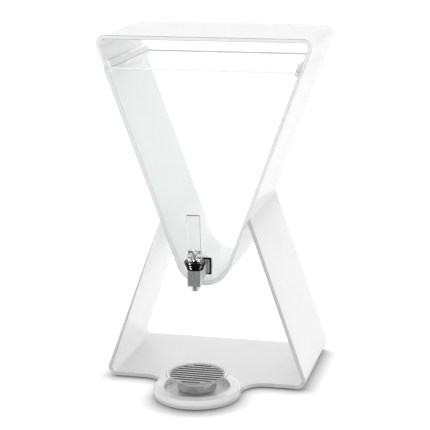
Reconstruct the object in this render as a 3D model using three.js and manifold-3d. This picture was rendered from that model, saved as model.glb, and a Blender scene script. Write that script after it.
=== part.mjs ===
// Acrylic beverage dispenser: a V-shaped tank under a flat roof, on a bent stand with a drip platform.
// Millimetres. X runs left to right, the tap faces -Y, Z is up and the floor is at Z = 0.
import * as THREE from 'three';
import { mergeVertices } from 'three/addons/utils/BufferGeometryUtils.js';
import Module from 'manifold-3d';

const wasm = await Module();
wasm.setup();
const radians = THREE.MathUtils.degToRad;

// Gaps and edges shared by several pieces
const seam = 0.2; // cement line between two glued faces
const slack = 0.3; // clearance of a loose or moving piece
const edgeEase = 0.5; // eased edge of a polished sheet
const overrun = 2; // how far a cutter runs past the face it cuts

// White band that makes the roof and the tank walls
const sheet = 6;
const roofWidth = 360; // between the sharp outer corners
const roofHeight = 570; // above the underside of the base
const tankDepth = 211;
const wallLean = radians(20.07); // from the vertical
const bendInside = 8; // small bends of the band and of the stand
const tankBottomInside = 41.5; // radius of the rounded tank bottom

// Clear panes, lid and the rails that guide it
const paneSheet = 6;
const fillingGap = 46; // from the pane tops to the roof
const lidSheet = 2;
const railSheet = 6;
const railHeight = 19.5; // along the wall
const railAbove = 12.5; // of that, above the pane tops
const grooveDepth = 4;

// Stand
const baseWidth = 346; // between the sharp outer corners
const legLean = radians(18.96);
const footHeight = 1.5;
const footRadius = 6;
const footTopShare = 0.9; // of its radius, where it meets the base
const footInset = 16; // from the edge of the flat base to a foot's middle
const wedgeHeight = 9;
const wedgeTip = 1.5; // what is left off its sharp top

// Drip platform and tray
const platformReach = 54.5; // from the front of the base to the platform's middle
const platformRadius = 71;
const neckRadius = 35; // concave curve from the base into the platform
const seatThickness = 8;
const seatEase = 3; // rounded shoulder of the seat ring
const trayRadius = 50;
const trayHeight = 28.5;
const trayRecess = 3.5; // all-round gap in the seat ring
const trayFloor = 3;
const trayEase = 0.8;
const rimWidth = 5.8; // clear rim outside the grate
const rebateDepth = 4.8;
const ledgeWidth = 2.2; // inner ledge of the clear cup, which carries the steel cup's flange
const steelCupRadius = 31.2;
const cupWall = 0.8;
const grateThickness = 2.5;
const slotPitch = 9.6;
const slotWidth = 4.6;
const slotCount = 9;
const slotEndShare = 0.49; // of its width, the radius of a slot's end
const grateBorder = 1; // metal left between a slot's end and the grate's edge

// Tap
const outletRise = 28; // from the inside of the tank bottom to the outlet's axis
const tapReach = 51.5; // from the front pane to the tap's upright axis
const blockWidth = 21.4;
const blockFront = 9; // from the upright axis forward
const blockBack = 8.5; // from the upright axis back
const blockDrop = 18.6; // from the outlet's axis down to the block's underside
const blockRise = 8.1; // from the outlet's axis up to the block's top
const blockBackRound = 8;
const armWidth = 19;
const armDrop = 11.6; // from the outlet's axis down to the arm's underside
const armRise = 7.2; // from the outlet's axis up to the arm's top
const cornerEase = 0.8;
const flangeSize = 22;
const flangeThickness = 2.5;
const gasketSize = 28;
const gasketThickness = 2.5;
const washerRadius = 13;
const nutAcrossFlats = 24;
const nutThickness = 7;
const waterway = 4.2; // radius
const shankRadius = 6.5;
const shankInArm = 10;
const shankPastNut = 3;
const threadPitch = 2;
const threadDepth = 0.5;
const spoutRadius = 6.4;
const spoutInBlock = 5;
const spoutBelowBlock = 8.2;
const seatLand = 3; // solid metal between the spout and the valve seat
const chamberRadius = 6.5;
const bonnetLowerRadius = 13.6; // of the ring on the block
const bonnetLowerHeight = 3.4;
const bonnetFootRadius = 14.8; // of the flaring upper part, where it starts
const bonnetUpperRadius = 17.2;
const bonnetUpperHeight = 10;
const bonnetPlug = 5.5; // how far the bonnet reaches into the block
const bonnetEase = 0.7;

// Valve and lever
const stemRadius = 2.8;
const stemGap = 0.5; // round the stem in the bonnet, and round its head in the lever
const headRadius = 5;
const headRise = 6.8; // from the pin to the top of the stem's round head
const sealRadius = 5.2;
const sealHeight = 6.2;
const sealFloor = 2;
const leverWidth = 20; // at the hub
const leverTipWidth = 21.2;
const leverThickness = 6;
const leverReach = 70.5; // from the pin to the lever's end
const leverLean = radians(8); // forward, at rest
const hubRadius = 8.5;
const camDrop = 6.2; // from the pin down to the hub's flat
const leverFillet = 8;
const leverEndRadius = 1.5;
const pinRadius = 1.4;
const pinGap = 0.3;

// Places worked out from the sizes
const wallSlope = Math.tan(wallLean);
const legSlope = Math.tan(legLean);
const baseZ = footHeight;
const baseTop = baseZ + sheet;
const roofTop = baseZ + roofHeight;
const paneTop = roofTop - sheet - fillingGap;
const frontY = -tankDepth / 2;
const paneFaceY = frontY - seam - paneSheet;
const tapY = paneFaceY - tapReach;
const platformY = frontY - platformReach;
const tankBottomRadius = tankBottomInside + sheet;
const apexZ = roofTop - roofWidth / 2 / wallSlope;
const tankBottomZ = apexZ + tankBottomRadius * (1 / Math.sin(wallLean) - 1);
const outletZ = tankBottomZ + sheet + outletRise;
const lidBottom = paneTop + slack;
const blockBottom = outletZ - blockDrop;
const blockTop = outletZ + blockRise;
const bonnetBottom = blockTop + seam;
const bonnetTop = bonnetBottom + bonnetLowerHeight + bonnetUpperHeight;
const pinZ = bonnetTop + slack + camDrop;
const seatZ = blockBottom + spoutInBlock + seatLand;
const trayBottom = baseTop + slack;

// Half-widths of the leaning walls at a height, moved out by a distance square to the face
const wallX = (z, out) => roofWidth / 2 - (roofTop - z) * wallSlope + out / Math.cos(wallLean);
const legX = (z, out) => baseWidth / 2 - (z - baseZ) * legSlope + out / Math.cos(legLean);

// Height where a leg face meets a wall face
function legMeetsWall(legOut, wallOut) {
  const gapAtBase = legX(baseZ, legOut) - wallX(baseZ, wallOut);
  return baseZ + gapAtBase / (legSlope + wallSlope);
}

// Outline through corners, each with its own bend radius
function trace(path, corners) {
  corners.forEach((corner, i) => {
    const before = corners.at(i - 1);
    const after = corners[(i + 1) % corners.length];
    const toBefore = new THREE.Vector2(before.x - corner.x, before.y - corner.y).normalize();
    const toAfter = new THREE.Vector2(after.x - corner.x, after.y - corner.y).normalize();
    if (!corner.radius) {
      if (i === 0) path.moveTo(corner.x, corner.y);
      else path.lineTo(corner.x, corner.y);
      return;
    }
    const half = Math.acos(toBefore.dot(toAfter)) / 2;
    const middle = toBefore.clone().add(toAfter).setLength(corner.radius / Math.sin(half));
    const start = toBefore.clone().multiplyScalar(corner.radius / Math.tan(half)).sub(middle).angle();
    const end = toAfter.clone().multiplyScalar(corner.radius / Math.tan(half)).sub(middle).angle();
    const clockwise = toBefore.cross(toAfter) > 0;
    path.absarc(corner.x + middle.x, corner.y + middle.y, corner.radius, start, end, clockwise);
  });
  return path;
}

const outline = (corners) => trace(new THREE.Shape(), corners);
const corner = (x, y, radius = 0) => ({ x, y, radius });

function rectangle(width, height, radius, middleX = 0, middleY = 0) {
  const x = width / 2;
  const y = height / 2;
  return outline([
    corner(middleX - x, middleY - y, radius),
    corner(middleX + x, middleY - y, radius),
    corner(middleX + x, middleY + y, radius),
    corner(middleX - x, middleY + y, radius),
  ]);
}

function roundHole(shape, x, y, radius) {
  shape.holes.push(new THREE.Path().absarc(x, y, radius, 0, 2 * Math.PI));
  return shape;
}

// Extrusion from 0 to the given length along local Z, with eased edges
function extrude(shape, length, ease = 0, curveSegments = 12) {
  const geometry = new THREE.ExtrudeGeometry(shape, {
    depth: length - 2 * ease,
    bevelEnabled: ease > 0,
    bevelThickness: ease,
    bevelSize: ease,
    bevelOffset: -ease,
    bevelSegments: 1,
    curveSegments,
  });
  return geometry.translate(0, 0, ease);
}

// The shape is drawn in X and Z, and the solid runs from nearY back to farY
function alongY(shape, nearY, farY, ease, curveSegments) {
  return extrude(shape, farY - nearY, ease, curveSegments).rotateX(Math.PI / 2).translate(0, farY, 0);
}

// The shape is drawn in Y and Z, and the solid is centred on X = 0
function acrossX(shape, width, ease, curveSegments) {
  const axes = new THREE.Matrix4().makeBasis(
    new THREE.Vector3(0, 1, 0), new THREE.Vector3(0, 0, 1), new THREE.Vector3(1, 0, 0));
  return extrude(shape, width, ease, curveSegments).applyMatrix4(axes).translate(-width / 2, 0, 0);
}

// A profile of [radius, height] pairs turned about an upright axis
function turned(profile, segments, x = 0, y = 0) {
  const points = profile.map(([radius, height]) => new THREE.Vector2(radius, height));
  if (profile[0][0] > 0) points.push(points[0].clone());
  return new THREE.LatheGeometry(points, segments).rotateX(Math.PI / 2).translate(x, y, 0);
}

// A quarter round in a turned profile, from one angle to the next
function quarter(radius, height, ease, fromDegrees, steps = 4) {
  return Array.from({ length: steps + 1 }, (_, i) => {
    const angle = radians(fromDegrees + (90 * i) / steps);
    return [radius + ease * Math.cos(angle), height + ease * Math.sin(angle)];
  });
}

function cylinderZ(radius, bottom, top, segments, x = 0, y = 0) {
  return turned([[0, bottom], [radius, bottom], [radius, top], [0, top]], segments, x, y);
}

function cylinderY(radius, nearY, farY, segments, z) {
  const shape = new THREE.Shape().absarc(0, z, radius, 0, 2 * Math.PI);
  return alongY(shape, nearY, farY, 0, segments / 2);
}

function box(minX, maxX, minY, maxY, minZ, maxZ) {
  return new THREE.BoxGeometry(maxX - minX, maxY - minY, maxZ - minZ)
    .translate((minX + maxX) / 2, (minY + maxY) / 2, (minZ + maxZ) / 2);
}

// Booleans
function toSolid(geometry) {
  const bare = geometry.clone();
  bare.deleteAttribute('normal');
  bare.deleteAttribute('uv');
  const merged = mergeVertices(bare);
  return new wasm.Manifold(new wasm.Mesh({
    numProp: 3,
    vertProperties: new Float32Array(merged.attributes.position.array),
    triVerts: new Uint32Array(merged.index.array),
  }));
}

function toGeometry(solid) {
  const mesh = solid.getMesh();
  const geometry = new THREE.BufferGeometry();
  geometry.setAttribute('position', new THREE.BufferAttribute(mesh.vertProperties, 3));
  geometry.setIndex(new THREE.BufferAttribute(mesh.triVerts, 1));
  const flat = geometry.toNonIndexed();
  flat.computeVertexNormals();
  return flat;
}

function joined(first, ...others) {
  return toGeometry(others.reduce((solid, other) => solid.add(toSolid(other)), toSolid(first)));
}

function cut(body, ...tools) {
  return toGeometry(tools.reduce((solid, tool) => solid.subtract(toSolid(tool)), toSolid(body)));
}

// Materials
const finish = (color, roughness, metalness, opacity = 1) => new THREE.MeshStandardMaterial({
  color, roughness, metalness, opacity, transparent: opacity < 1,
});
const whiteAcrylic = finish(0xeeeeee, 0.22, 0);
const clearAcrylic = finish(0xf6f8f8, 0.06, 0, 0.25);
const chrome = finish(0xc8cacc, 0.12, 1);
const steel = finish(0xa9abad, 0.35, 1);
const blackRubber = finish(0x17181a, 0.7, 0);
const blackPlastic = finish(0x1a1a1a, 0.12, 0);
const paleSilicone = finish(0xe4e4e0, 0.5, 0);

const assembly = new THREE.Group();

function place(name, geometry, material) {
  const mesh = new THREE.Mesh(geometry, material);
  mesh.name = name;
  assembly.add(mesh);
}

// Tank band: one closed loop of sheet
function tankBand() {
  const loop = (inset, smallBend, bottomBend) => [
    corner(wallX(roofTop - inset, -inset), roofTop - inset, smallBend),
    corner(-wallX(roofTop - inset, -inset), roofTop - inset, smallBend),
    corner(0, apexZ + inset / Math.sin(wallLean), bottomBend),
  ];
  const shape = outline(loop(0, bendInside + sheet, tankBottomRadius));
  shape.holes.push(trace(new THREE.Path(), loop(sheet, bendInside, tankBottomInside)));
  return alongY(shape, frontY, -frontY, edgeEase, 14);
}

function pane(nearY, outletHole) {
  const shape = outline([
    corner(wallX(paneTop, 0), paneTop),
    corner(-wallX(paneTop, 0), paneTop),
    corner(0, apexZ, tankBottomRadius),
  ]);
  if (outletHole) roundHole(shape, 0, outletZ, shankRadius + slack);
  return alongY(shape, nearY, nearY + paneSheet, edgeEase, 14);
}

// Rail on the inside of a wall, with a level groove for the lid
const grooveX = wallX(lidBottom, -sheet - seam - railSheet) + grooveDepth;

function lidRail(side) {
  const up = new THREE.Vector2(Math.sin(wallLean), Math.cos(wallLean));
  const foot = (inward, along) => {
    const x = wallX(paneTop, -sheet - inward) + along * up.x;
    return corner(side * x, paneTop + along * up.y);
  };
  const shape = outline([
    foot(seam, railAbove - railHeight),
    foot(seam, railAbove),
    foot(seam + railSheet, railAbove + railSheet * wallSlope),
    foot(seam + railSheet, railAbove - railHeight + railSheet * wallSlope),
  ]);
  const bar = alongY(shape, frontY, -frontY, 0);
  const inner = grooveX - grooveDepth - railSheet;
  const groove = box(Math.min(side * inner, side * grooveX), Math.max(side * inner, side * grooveX),
    frontY - overrun, overrun - frontY, lidBottom - slack, lidBottom + lidSheet + slack);
  return cut(bar, groove);
}

function lid() {
  const width = 2 * (grooveX - slack);
  const shape = rectangle(width, lidSheet, 0, 0, lidBottom + lidSheet / 2);
  return alongY(shape, paneFaceY, -paneFaceY, edgeEase / 2);
}

// Stand: one bent sheet with its platform cut from the same plate
function stand() {
  const seatFace = seam;
  const outerTop = legMeetsWall(0, seatFace);
  const innerTop = legMeetsWall(-sheet, seatFace);
  const innerCorner = legX(baseTop, -sheet);
  const shape = outline([
    corner(-legX(outerTop, 0), outerTop),
    corner(-legX(baseZ, 0), baseZ, bendInside + sheet),
    corner(legX(baseZ, 0), baseZ, bendInside + sheet),
    corner(legX(outerTop, 0), outerTop),
    corner(legX(innerTop, -sheet), innerTop),
    corner(innerCorner, baseTop, bendInside),
    corner(-innerCorner, baseTop, bendInside),
    corner(-legX(innerTop, -sheet), innerTop),
  ]);
  return joined(alongY(shape, frontY, -frontY, edgeEase, 8), platformPlate());
}

function platformPlate() {
  const neckX = Math.sqrt((platformRadius + neckRadius) ** 2 - (platformReach - neckRadius) ** 2);
  const neckY = frontY - neckRadius;
  const touch = Math.atan2(neckY - platformY, neckX);
  const shape = new THREE.Shape();
  shape.moveTo(-neckX, frontY + sheet);
  shape.lineTo(-neckX, frontY);
  shape.absarc(-neckX, neckY, neckRadius, Math.PI / 2, -touch, true);
  shape.absarc(0, platformY, platformRadius, Math.PI - touch, 2 * Math.PI + touch, false);
  shape.absarc(neckX, neckY, neckRadius, Math.PI + touch, Math.PI / 2, true);
  shape.lineTo(neckX, frontY + sheet);
  return extrude(shape, sheet, edgeEase, 18).translate(0, 0, baseZ);
}

// Wedge that fills the crotch between a wall and its leg
function wedge(side) {
  const crotch = legMeetsWall(-sheet - seam, seam);
  const top = crotch - wedgeTip;
  const bottom = crotch - wedgeHeight;
  const shape = outline([
    corner(side * wallX(top, seam), top),
    corner(side * legX(top, -sheet - seam), top),
    corner(side * legX(bottom, -sheet - seam), bottom),
    corner(side * wallX(bottom, seam), bottom),
  ]);
  return alongY(shape, frontY, -frontY, 0);
}

// The seam lies between the foot and the base
function foot(x, y) {
  const rim = footHeight - seam;
  return turned([[0, 0], [footRadius, 0], [footRadius * footTopShare, rim], [0, rim]], 20, x, y);
}

function seatRing() {
  const bottom = baseTop + seam;
  const top = bottom + seatThickness;
  const inner = trayRadius + trayRecess;
  return turned([
    [inner, bottom],
    [platformRadius - edgeEase, bottom],
    [platformRadius, bottom + edgeEase],
    ...quarter(platformRadius - seatEase, top - seatEase, seatEase, 0, 5),
    [inner + edgeEase, top],
    [inner, top - edgeEase],
  ], 72, 0, platformY);
}

// Clear cup with a rebate for the grate and a ledge for the steel cup that hangs in it
function dripTray() {
  const top = trayBottom + trayHeight;
  const shelf = top - rebateDepth;
  const rebate = trayRadius - rimWidth;
  return turned([
    [0, trayBottom],
    ...quarter(trayRadius - trayEase, trayBottom + trayEase, trayEase, -90, 2),
    ...quarter(trayRadius - trayEase, top - trayEase, trayEase, 0, 3),
    ...quarter(rebate + trayEase, top - trayEase, trayEase, 90, 3),
    [rebate, shelf],
    [rebate - ledgeWidth, shelf],
    [rebate - ledgeWidth, trayBottom + trayFloor],
    [0, trayBottom + trayFloor],
  ], 60, 0, platformY);
}

function dripCup() {
  const outer = steelCupRadius;
  const inner = outer - cupWall;
  const flangeRadius = trayRadius - rimWidth - slack;
  const bottom = trayBottom + trayFloor + slack;
  const flangeBottom = trayBottom + trayHeight - rebateDepth + slack;
  const flangeTop = flangeBottom + cupWall;
  return turned([
    [0, bottom],
    ...quarter(outer - 2 * cupWall, bottom + 2 * cupWall, 2 * cupWall, -90, 3),
    [outer, flangeBottom],
    [flangeRadius, flangeBottom],
    [flangeRadius, flangeTop],
    [inner, flangeTop],
    ...quarter(inner - cupWall, bottom + 2 * cupWall, cupWall, 0, 3).map(([r, z]) => [r, 2 * (bottom + 2 * cupWall) - z]),
    [0, bottom + cupWall],
  ], 48, 0, platformY);
}

function dripGrate() {
  const radius = trayRadius - rimWidth - slack;
  const bottom = trayBottom + trayHeight - rebateDepth + slack + cupWall + slack;
  const disc = turned([
    [0, bottom],
    [radius, bottom],
    ...quarter(radius - edgeEase, bottom + grateThickness - edgeEase, edgeEase, 0, 2),
    [0, bottom + grateThickness],
  ], 60, 0, platformY);
  const slots = Array.from({ length: slotCount }, (_, i) => {
    const y = (i - (slotCount - 1) / 2) * slotPitch;
    const reach = radius - grateBorder - slotWidth / 2;
    const half = slotWidth / 2 + Math.sqrt(Math.max(reach ** 2 - y ** 2, slotWidth ** 2));
    const shape = rectangle(2 * half, slotWidth, slotWidth * slotEndShare, 0, platformY + y);
    return extrude(shape, grateThickness + 2 * overrun, 0, 3).translate(0, 0, bottom - overrun);
  });
  return cut(disc, ...slots);
}

// Tap body: upright block with a rounded back, arm and square flange in one casting
function tapBody() {
  const flangeBack = paneFaceY - gasketThickness - 2 * seam;
  const flangeFront = flangeBack - flangeThickness;
  const block = extrude(outline([
    corner(-blockWidth / 2, tapY - blockFront, cornerEase),
    corner(blockWidth / 2, tapY - blockFront, cornerEase),
    corner(blockWidth / 2, tapY + blockBack, blockBackRound),
    corner(-blockWidth / 2, tapY + blockBack, blockBackRound),
  ]), blockTop - blockBottom, edgeEase, 5).translate(0, 0, blockBottom);
  const armMiddle = outletZ + (armRise - armDrop) / 2;
  const armShape = rectangle(armWidth, armRise + armDrop, cornerEase, 0, armMiddle);
  const arm = alongY(armShape, tapY, flangeBack - edgeEase, 0, 3);
  const flangeShape = rectangle(flangeSize, flangeSize, cornerEase, 0, outletZ);
  const flange = alongY(flangeShape, flangeFront, flangeBack, edgeEase, 3);
  const bore = cylinderY(waterway, tapY, flangeBack + overrun, 20, outletZ);
  const shankFront = flangeBack - shankInArm - slack;
  const shankBore = cylinderY(shankRadius + slack, shankFront, flangeBack + overrun, 20, outletZ);
  const chamber = cylinderZ(chamberRadius, seatZ, blockTop + overrun, 24, 0, tapY);
  const seatHole = cylinderZ(waterway, blockBottom, seatZ + overrun, 20, 0, tapY);
  const spoutTop = blockBottom + spoutInBlock + slack;
  const spoutBore = cylinderZ(spoutRadius + slack, blockBottom - overrun, spoutTop, 24, 0, tapY);
  return cut(joined(block, arm, flange), joined(bore, shankBore), joined(chamber, seatHole), spoutBore);
}

function spout() {
  const top = blockBottom + spoutInBlock;
  const bottom = blockBottom - spoutBelowBlock;
  return turned([
    [waterway, bottom],
    [spoutRadius - edgeEase, bottom],
    [spoutRadius, bottom + edgeEase],
    [spoutRadius, top],
    [waterway, top],
  ], 28, 0, tapY);
}

function outerGasket() {
  const back = paneFaceY - seam;
  const shape = roundHole(rectangle(gasketSize, gasketSize, cornerEase, 0, outletZ), 0, outletZ, shankRadius + slack);
  return alongY(shape, back - gasketThickness, back, 0, 8);
}

const washerFront = frontY - seam + slack;
const nutFront = washerFront + gasketThickness + slack;

function innerWasher() {
  const shape = new THREE.Shape().absarc(0, outletZ, washerRadius, 0, 2 * Math.PI);
  roundHole(shape, 0, outletZ, shankRadius + slack);
  return alongY(shape, washerFront, washerFront + gasketThickness, 0, 14);
}

function lockNut() {
  const corners = Array.from({ length: 6 }, (_, i) => {
    const radius = nutAcrossFlats / Math.sqrt(3);
    const angle = (i * Math.PI) / 3;
    return corner(radius * Math.cos(angle), outletZ + radius * Math.sin(angle));
  });
  const shape = roundHole(outline(corners), 0, outletZ, shankRadius + slack);
  return alongY(shape, nutFront, nutFront + nutThickness, edgeEase, 8);
}

// Threaded tube from the arm through the pane into the tank
function shank() {
  const start = paneFaceY - gasketThickness - 2 * seam - shankInArm;
  const length = nutFront + nutThickness + shankPastNut - start;
  const turns = Math.floor((length - threadPitch / 2) / threadPitch);
  const crests = Array.from({ length: turns }, (_, i) => [
    [shankRadius, i * threadPitch + threadPitch / 2],
    [shankRadius - threadDepth, (i + 1) * threadPitch],
  ]).flat();
  const profile = [[waterway, 0], [shankRadius - threadDepth, 0], ...crests,
    [shankRadius - threadDepth, length], [waterway, length]];
  return turned(profile, 20).rotateX(-Math.PI / 2).translate(0, start, outletZ);
}

function bonnet() {
  const bore = stemRadius + stemGap;
  const step = bonnetBottom + bonnetLowerHeight;
  return turned([
    [bore, bonnetBottom - bonnetPlug],
    [chamberRadius - slack, bonnetBottom - bonnetPlug],
    [chamberRadius - slack, bonnetBottom],
    [bonnetLowerRadius - bonnetEase, bonnetBottom],
    [bonnetLowerRadius, bonnetBottom + bonnetEase],
    [bonnetLowerRadius, step],
    [bonnetFootRadius - bonnetEase, step],
    [bonnetFootRadius, step + bonnetEase],
    [bonnetUpperRadius, bonnetTop - bonnetUpperHeight / 2],
    ...quarter(bonnetUpperRadius - 2 * bonnetEase, bonnetTop - 2 * bonnetEase, 2 * bonnetEase, 0, 3),
    [bore, bonnetTop],
  ], 44, 0, tapY);
}

// Stem with a round head and an eye for the pin, and the seal on its lower end
const sealBottom = seatZ + slack;

function stem() {
  const headBottom = bonnetTop + slack;
  const rod = turned([
    [0, sealBottom + sealFloor + slack],
    [stemRadius, sealBottom + sealFloor + slack],
    [stemRadius, headBottom],
    [headRadius - edgeEase, headBottom],
    [headRadius, headBottom + edgeEase],
    ...quarter(0, pinZ + headRise - headRadius, headRadius, 0, 5),
  ], 24, 0, tapY);
  const eyeShape = new THREE.Shape().absarc(tapY, pinZ, pinRadius + pinGap / 2, 0, 2 * Math.PI);
  return cut(rod, acrossX(eyeShape, 2 * (headRadius + overrun), 0, 7));
}

function sealCup() {
  const bore = stemRadius + slack / 2;
  return turned([
    [0, sealBottom],
    ...quarter(sealRadius - edgeEase, sealBottom + edgeEase, edgeEase, -90, 2),
    [sealRadius, sealBottom + sealHeight],
    [bore, sealBottom + sealHeight],
    [bore, sealBottom + sealFloor],
    [0, sealBottom + sealFloor],
  ], 24, 0, tapY);
}

function leverPin() {
  const shape = new THREE.Shape().absarc(tapY, pinZ, pinRadius, 0, 2 * Math.PI);
  return acrossX(shape, leverWidth - 2 * edgeEase, 0, 7);
}

// Side view of the lever: a bar with a round end, flaring into the round hub
function leverSide() {
  const half = leverThickness / 2;
  const filletX = half + leverFillet;
  const filletY = Math.sqrt((hubRadius + leverFillet) ** 2 - filletX ** 2);
  const touch = Math.atan2(filletY, filletX);
  const tip = leverReach - leverEndRadius;
  const shape = new THREE.Shape();
  shape.moveTo(half, filletY);
  shape.absarc(half - leverEndRadius, tip, leverEndRadius, 0, Math.PI / 2, false);
  shape.absarc(leverEndRadius - half, tip, leverEndRadius, Math.PI / 2, Math.PI, false);
  shape.lineTo(-half, filletY);
  shape.absarc(-filletX, filletY, leverFillet, 0, -touch, true);
  shape.absarc(0, 0, hubRadius, Math.PI - touch, 2 * Math.PI + touch, false);
  shape.absarc(filletX, filletY, leverFillet, Math.PI + touch, Math.PI, true);
  return shape;
}

// The bar widens towards its end. An arched slot takes the stem's head, and the hub's flat
// underside lifts the stem when the lever tilts.
function lever() {
  const body = acrossX(leverSide(), leverWidth, edgeEase, 10);
  const places = body.attributes.position;
  const widening = (leverTipWidth - leverWidth) / leverWidth / leverReach;
  for (let i = 0; i < places.count; i += 1) {
    places.setX(i, places.getX(i) * (1 + widening * Math.max(places.getZ(i), 0)));
  }
  body.rotateX(leverLean).translate(0, tapY, pinZ);
  const reach = hubRadius + overrun;
  const flat = box(-leverWidth, leverWidth, tapY - reach, tapY + reach, pinZ - reach, pinZ - camDrop);
  const slotHalf = headRadius + stemGap;
  const headMiddle = pinZ + headRise - headRadius;
  const slot = box(-slotHalf, slotHalf, tapY - reach, tapY + reach, pinZ - reach, headMiddle);
  const arch = cylinderY(slotHalf, tapY - reach, tapY + reach, 24, headMiddle);
  const holeShape = new THREE.Shape().absarc(tapY, pinZ, pinRadius + pinGap, 0, 2 * Math.PI);
  const hole = acrossX(holeShape, leverWidth + 2 * overrun, 0, 7);
  return cut(body, flat, joined(slot, arch), hole);
}

// Fixed pieces
place('tank_band', tankBand(), whiteAcrylic);
place('front_pane', pane(paneFaceY, true), clearAcrylic);
place('rear_pane', pane(-paneFaceY - paneSheet, false), clearAcrylic);
for (const [name, side] of [['left', -1], ['right', 1]]) {
  place(`lid_rail_${name}`, lidRail(side), whiteAcrylic);
  place(`leg_wedge_${name}`, wedge(side), whiteAcrylic);
}
place('stand', stand(), whiteAcrylic);
place('tray_seat_ring', seatRing(), whiteAcrylic);

// Feet
const footX = legX(baseZ, 0) - (bendInside + sheet) / Math.tan((Math.PI / 2 - legLean) / 2) - footInset;
const footY = -frontY - footInset;
place('foot_front_left', foot(-footX, -footY), paleSilicone);
place('foot_front_right', foot(footX, -footY), paleSilicone);
place('foot_rear_left', foot(-footX, footY), paleSilicone);
place('foot_rear_right', foot(footX, footY), paleSilicone);
place('foot_platform', foot(0, platformY - platformRadius + footInset), paleSilicone);

// Drip tray
place('drip_tray', dripTray(), clearAcrylic);
place('drip_cup', dripCup(), steel);
place('drip_grate', dripGrate(), steel);

// Tap
place('tap_body', tapBody(), chrome);
place('tap_spout', spout(), chrome);
place('tap_bonnet', bonnet(), blackPlastic);
place('outer_gasket', outerGasket(), blackRubber);
place('inner_washer', innerWasher(), paleSilicone);
place('lock_nut', lockNut(), chrome);
place('tap_shank', shank(), steel);
place('valve_stem', stem(), steel);
place('valve_seal', sealCup(), paleSilicone);
place('lever_pin', leverPin(), steel);
place('tap_lever', lever(), clearAcrylic);
place('lid', lid(), clearAcrylic);

// The frame's origin is under the middle of the whole footprint
const frontmost = platformY - platformRadius;
const rearmost = -paneFaceY;
assembly.position.y = -(frontmost + rearmost) / 2;

export default assembly;
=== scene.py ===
"""Looks of the acrylic beverage dispenser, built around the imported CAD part. Metres, Z up."""
import math

import bmesh
import bpy
from mathutils import Matrix, Vector


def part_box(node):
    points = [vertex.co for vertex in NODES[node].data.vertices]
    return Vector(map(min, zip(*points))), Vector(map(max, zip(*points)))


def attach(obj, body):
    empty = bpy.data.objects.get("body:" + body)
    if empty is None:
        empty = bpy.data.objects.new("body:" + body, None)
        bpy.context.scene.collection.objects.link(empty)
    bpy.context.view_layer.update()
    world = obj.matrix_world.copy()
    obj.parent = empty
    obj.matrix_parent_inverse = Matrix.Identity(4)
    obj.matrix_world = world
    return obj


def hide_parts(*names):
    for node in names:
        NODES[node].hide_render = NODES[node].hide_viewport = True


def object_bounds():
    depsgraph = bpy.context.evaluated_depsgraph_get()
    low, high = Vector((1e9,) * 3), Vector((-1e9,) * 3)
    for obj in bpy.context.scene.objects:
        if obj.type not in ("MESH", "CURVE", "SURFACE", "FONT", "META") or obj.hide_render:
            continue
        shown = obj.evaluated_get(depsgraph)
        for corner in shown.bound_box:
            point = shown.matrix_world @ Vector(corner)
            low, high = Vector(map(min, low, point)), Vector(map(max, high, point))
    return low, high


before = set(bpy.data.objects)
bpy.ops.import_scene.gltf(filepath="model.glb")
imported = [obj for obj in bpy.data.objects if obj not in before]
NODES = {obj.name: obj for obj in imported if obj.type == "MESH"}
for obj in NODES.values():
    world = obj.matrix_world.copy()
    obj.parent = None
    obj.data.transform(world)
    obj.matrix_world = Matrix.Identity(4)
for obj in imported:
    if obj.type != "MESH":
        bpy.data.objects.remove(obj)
cad_low, cad_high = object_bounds()
MM = 0.001

# Camera, fitted to the photograph's straight edges; angles in radians
AZIMUTH, ELEVATION, ROLL = 0.242102545, 0.242328451, -0.008560376
DISTANCE = 2395.23 * MM
TARGET = Vector((-6.487, 59.65, 260.176)) * MM
FOCAL_PIXELS, FRAME_PIXELS = 1424.0227, 430
SHIFT_PIXELS = (-0.5, 0.05)
SENSOR = 36
CLIP = (0.05, 200)

# Sizes that the added pieces share with the solids, in millimetres
ROOF_TOP = cad_high[2] / MM
ROOF_HALF, BASE_HALF, BASE_FOOT = 180.0, 173.0, 1.5
WALL_LEAN, LEG_LEAN = math.radians(20.07), math.radians(18.96)
SHEET = 6.0
PANE_TOP = 519.5
SEAM = 0.2  # a cement line between two glued pieces
TOUCH = 0.02  # gap left between a filled joint and its neighbours
AXIS = 0.02  # radius at which a turned floor ends, next to its axis

# Meshes
WELD = 1e-6  # points closer than this, in metres, are one
SHARP = 40  # two faces that turn more than this, in degrees, meet at a corner
COPLANAR = 0.4  # two faces that turn less than this are one
NORMAL_WEIGHT = 60
BEVEL_STEPS = 2
# How far a face has to point along an axis to count as facing it; the last takes in corners
SQUARE, MOSTLY, CORNERWISE = 0.9, 0.8, 0.7

# Light: brightness of the world for soft light and for mirrors, and the floor
SOFT_LIGHT = {"front": 1.56, "back": 9.8, "back_span": (0.25, 0.95),
              "over": 1.24, "over_span": (0.2, 0.7), "sides": 0.24}
MIRRORED = {"front": 0.14, "back": 1.05, "back_span": (-0.7, 0.3),
            "over": 1.0, "over_span": (0.3, 0.9), "sides": 1.0}
SIDE_SPAN = (0.1, 0.7)
FLOOR_TONE, FLOOR_GLOW = 0.38, 1.95
SHADOW_REACH, SHADOW_POWER, SHADOW_SAMPLES = 0.032, 1.4, 8
TOWARDS_LIGHT = (-0.20, 0.83, 0.52)
FLOOR_REACH = 40
CARD_GLOW = 0.3
CARD = {"half_x": 4, "near": -5, "far": -0.42, "height": 0.0005}

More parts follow.
